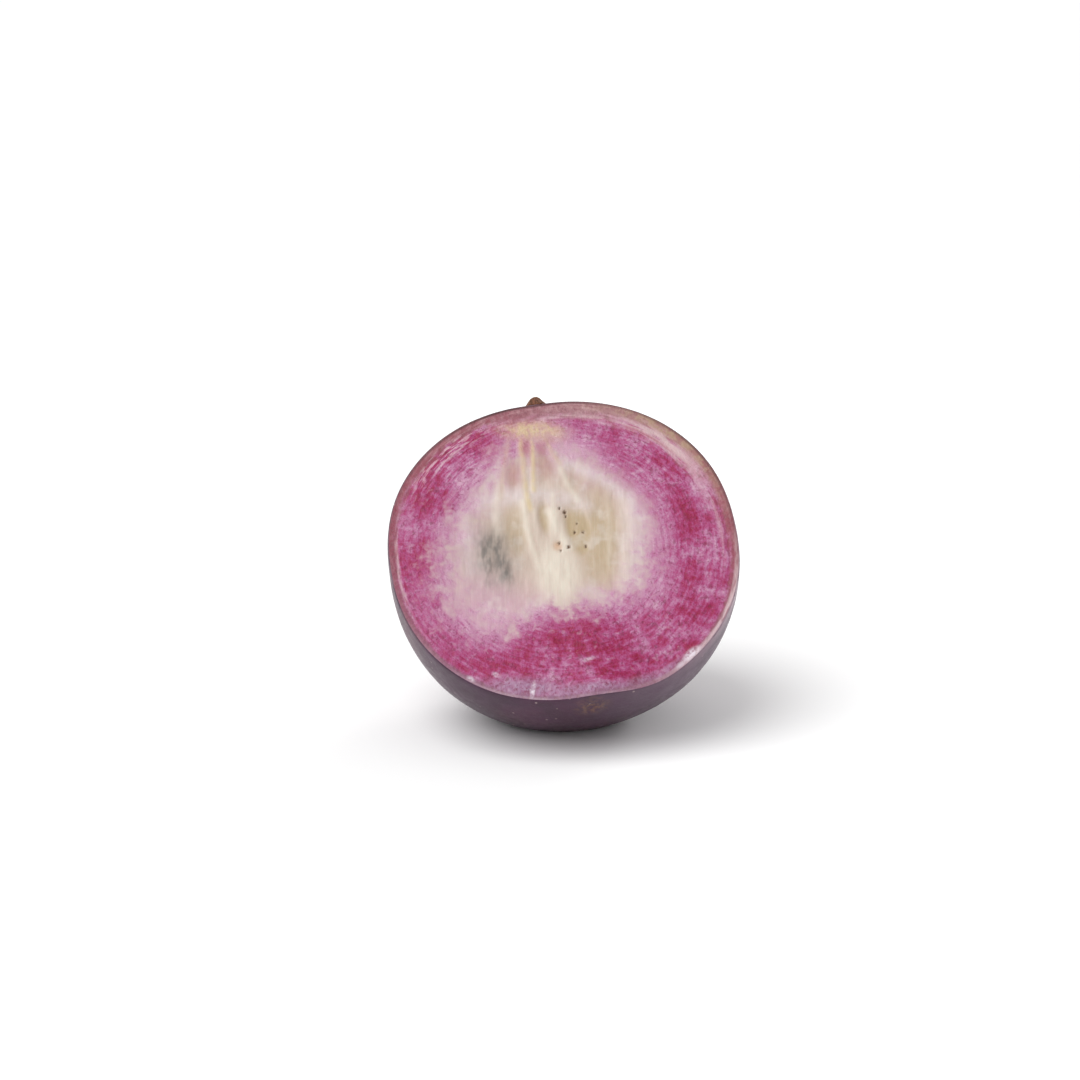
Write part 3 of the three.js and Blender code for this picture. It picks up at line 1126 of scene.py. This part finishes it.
def skin_material(settings, pose):
    """Leathery skin: mauve with plum and ruddy patches, waxy bloom, pores, scuffs and a flower's scar, with
    painted shade at the end away from the stalk and painted light and a painted sheen at the right, low
    down.
    """
    shade, touch = settings.skin, SKIN_TOUCHES
    s = Shader("fruit_skin")
    place = s.place_on_stem(pose)
    broad = s.lumps(place, 26, 4.0, 0.6, 0.4)
    blotches = s.lumps(s.stretched(place, (1.0, 1.0, 0.7)), 9, 4.0, 0.62, 0.3)
    mottle = s.lumps(place, 2.2, 4.0, 0.62)
    grain = s.lumps(place, 0.5, 3.0, 0.6)
    base = s.mix(s.step(blotches, 0.38, 0.68), shade.mauve, shade.plum)
    base = s.lay(base, shade.ruddy, s.step(broad, 0.5, 0.72, 0.0, 0.75))
    base = s.lay(base, shade.bloom, s.step(mottle, 0.45, 0.8, 0.0, 0.4))
    base = s.lay(base, shade.bloom, s.step(broad, 0.46, 0.28, 0.0, 0.5))

    # painted shade: the end away from the stalk is darker
    parts = s.parts(place)
    lower = s.mix(s.step(blotches, 0.42, 0.62), touch.painted_shade_dark, touch.lower)
    base = s.lay(base, lower, s.step(parts["Z"], -6 * MM, -30 * MM, 0.0, 0.8))

    # painted light: the skin at the lower right is lightened with the bloom's colour
    base = s.lay(base, shade.bloom, "painted_light", s.step(blotches, 0.3, 0.6, 0.5, 0.3))
    # painted sheen: pale skin along the right edge of the cut stands in for a glossy highlight
    base = s.lay(base, touch.painted_sheen, "painted_sheen_edge", s.step(mottle, 0.3, 0.55, 0.45, 0.9))

    # pores: tiny pale dots, one to a cell, where the random size is large enough
    cells = s.node("ShaderNodeTexVoronoi")
    s.tune(cells, Vector=place, Scale=1.0 / (PORE_SPACING * MM))
    chance = s.node("ShaderNodeSeparateColor")
    s.feed(chance.inputs[0], cells.outputs["Color"])
    dot = s.times(s.step(cells.outputs["Distance"], 0.16, 0.06), s.step(chance.outputs[0], 0.55, 0.7))
    base = s.lay(base, touch.pore, dot, 0.6)

    # scuffs, and the scar of the flower at the end away from the stalk
    scuff = s.times(s.step(s.lumps(place, 14, 5.0, 0.7, 0.8), 0.66, 0.76), s.step(mottle, 0.3, 0.6))
    base = s.lay(base, shade.scuff, scuff, 0.55)
    near_axis = s.step(s.length(parts["X"], parts["Y"]), 5.5 * MM, 1.5 * MM)
    scar = s.times(near_axis, s.maths("LESS_THAN", parts["Z"], 0.0))
    scar = s.times(scar, s.step(s.lumps(place, 1.1, 3.0, 0.7), 0.42, 0.62))
    base = s.lay(base, shade.scuff, scar, 0.45)

    height = s.plus(s.plus(s.times(mottle, 0.6), s.times(grain, 0.4)), s.times(dot, 0.35))
    return s.finish(
        Base_Color=base, Roughness=s.step(mottle, 0.3, 0.75, 0.34, 0.5), Specular_IOR_Level=0.25,
        Coat_Weight=0.06, Coat_Roughness=0.22, Normal=s.bump(height, 0.25, 0.5),
    )


def bark_material(settings):
    """Dry bark with a paler, fibrous broken end."""
    shade, touch = settings.stalk, BARK_TOUCHES
    s = Shader("stalk_bark")
    around = s.joined(X=s.times(s.maths("COSINE", "stalk_bearing"), 2 * MM),
                      Y=s.times(s.maths("SINE", "stalk_bearing"), 2 * MM),
                      Z=s.times("stalk_height", 1.2 * MM))
    ridges = s.lumps(around, 0.45, 4.0, 0.65)
    grain = s.lumps(s.node("ShaderNodeTexCoord").outputs["Object"], 0.25, 3.0, 0.6)
    base = s.mix(s.step(ridges, 0.35, 0.65), touch.cracks, shade.bark)
    base = s.lay(base, touch.dust, s.step(grain, 0.5, 0.8, 0.0, 0.4))
    wood = s.mix(s.step(grain, 0.35, 0.65), shade.wood, touch.torn)
    base = s.lay(base, wood, s.step("stalk_height", 0.86, 0.96), s.step("stalk_radius", 0.98, 0.85))
    return s.finish(
        Base_Color=base, Roughness=s.step(grain, 0.2, 0.8, 0.7, 0.95), Specular_IOR_Level=0.25,
        Normal=s.bump(s.plus(ridges, s.times(grain, 0.4)), 0.3, 0.9),
    )


def floor_material(shade):
    """Plain matt floor."""
    return Shader("studio_floor").finish(Base_Color=shade, Roughness=0.8, Specular_IOR_Level=0.2)


# ------------------------------------------------------------
# Stage
# ------------------------------------------------------------

FLOOR_SIZE = 12.0
SUN_PLACE = (-0.5, -0.25, 0.8)
RIM_PLACE = (0.42, 0.52, 0.16)
RIM_WIDTH = 0.25
NEAREST_SEEN = 0.01
WHITE = (1.0, 1.0, 1.0, 1.0)


def hang_lamp(kind, name, place, middle):
    """A lamp at a place, turned to the fruit and kept out of the picture."""
    lamp = bpy.data.objects.new(name, bpy.data.lights.new(name, kind))
    bpy.context.scene.collection.objects.link(lamp)
    lamp.location = place
    lamp.rotation_euler = (middle - lamp.location).to_track_quat("-Z", "Y").to_euler()
    lamp.visible_camera = False
    return lamp.data


class STARAPPLE_OT_stage(bpy.types.Operator):
    """Makes the pale floor, the soft lamps, the white surroundings and the camera"""
    bl_idname = "star_apple.stage"
    bl_label = "Studio Stage"
    bl_options = {"REGISTER", "UNDO"}

    def execute(self, context):
        settings = context.scene.star_apple
        stage = settings.stage
        pose = Pose(settings.fruit)
        deselect_everything()
        bpy.ops.mesh.primitive_plane_add(size=FLOOR_SIZE, location=(0.0, 0.0, 0.0))
        floor = context.object
        floor.name = floor.data.name = "studio_floor"
        floor.data.materials.append(floor_material(stage.floor_colour))

        world = bpy.data.worlds.new("studio_white")
        context.scene.world = world
        world.use_nodes = True
        sky = world.node_tree.nodes["Background"]
        sky.inputs["Color"].default_value = WHITE
        sky.inputs["Strength"].default_value = stage.sky_strength
        wall = world.node_tree.nodes.new("ShaderNodeBackground")
        wall.inputs["Color"].default_value = WHITE
        seen = world.node_tree.nodes.new("ShaderNodeLightPath")
        choice = world.node_tree.nodes.new("ShaderNodeMixShader")
        joins = world.node_tree.links
        joins.new(seen.outputs["Is Camera Ray"], choice.inputs[0])
        joins.new(sky.outputs[0], choice.inputs[1])
        joins.new(wall.outputs[0], choice.inputs[2])
        joins.new(choice.outputs[0], world.node_tree.nodes["World Output"].inputs["Surface"])

        middle = Vector(pose.centre)
        sun = hang_lamp("SUN", "soft_sun", SUN_PLACE, middle)
        sun.energy = stage.sun_strength
        sun.angle = stage.sun_spread
        rim = hang_lamp("AREA", "rim_lamp", RIM_PLACE, middle)
        rim.shape = "SQUARE"
        rim.size = RIM_WIDTH
        rim.energy = stage.rim_power

        rise = stage.camera_height
        towards = Vector((0.0, -math.cos(rise), math.sin(rise)))
        camera_up = Vector((0.0, math.sin(rise), math.cos(rise)))
        camera_data = bpy.data.cameras.new("camera")
        camera_data.lens = stage.lens
        camera = bpy.data.objects.new("camera", camera_data)
        context.scene.collection.objects.link(camera)
        camera.location = (middle + towards * stage.camera_distance - Vector((stage.aside, 0.0, 0.0))
                           + camera_up * stage.below)
        camera.rotation_euler = (-towards).to_track_quat("-Z", "Y").to_euler()
        camera_data.clip_start = NEAREST_SEEN
        context.scene.camera = camera
        context.scene.view_settings.view_transform = "Standard"
        return {"FINISHED"}


class STARAPPLE_PT_sidebar(bpy.types.Panel):
    """Lists the pieces of the star apple and their settings"""
    bl_idname = "STARAPPLE_PT_sidebar"
    bl_label = "Star Apple"
    bl_space_type = "VIEW_3D"
    bl_region_type = "UI"
    bl_category = "Star Apple"

    def draw(self, context):
        settings = context.scene.star_apple
        for operator in (STARAPPLE_OT_stage, STARAPPLE_OT_fruit_half, STARAPPLE_OT_stalk_stub):
            self.layout.operator(operator.bl_idname)
        for part in ("fruit", "flesh", "skin", "stalk", "stage"):
            box = self.layout.box()
            box.label(text=part.title())
            group = getattr(settings, part)
            for name in group.bl_rna.properties.keys():
                if name not in {"rna_type", "name"}:
                    box.prop(group, name)


CLASSES = (
    FruitSizes, FleshColours, SkinColours, StalkSizes, StageSizes, StarAppleSettings,
    STARAPPLE_OT_fruit_half, STARAPPLE_OT_stalk_stub, STARAPPLE_OT_stage, STARAPPLE_PT_sidebar,
)


def register():
    for made in CLASSES:
        bpy.utils.register_class(made)
    bpy.types.Scene.star_apple = PointerProperty(type=StarAppleSettings)


def unregister():
    del bpy.types.Scene.star_apple
    for made in reversed(CLASSES):
        bpy.utils.unregister_class(made)


def main():
    register()
    bpy.ops.star_apple.stage()
    bpy.ops.star_apple.fruit_half()
    bpy.ops.star_apple.stalk_stub()


if __name__ == "__main__":
    main()
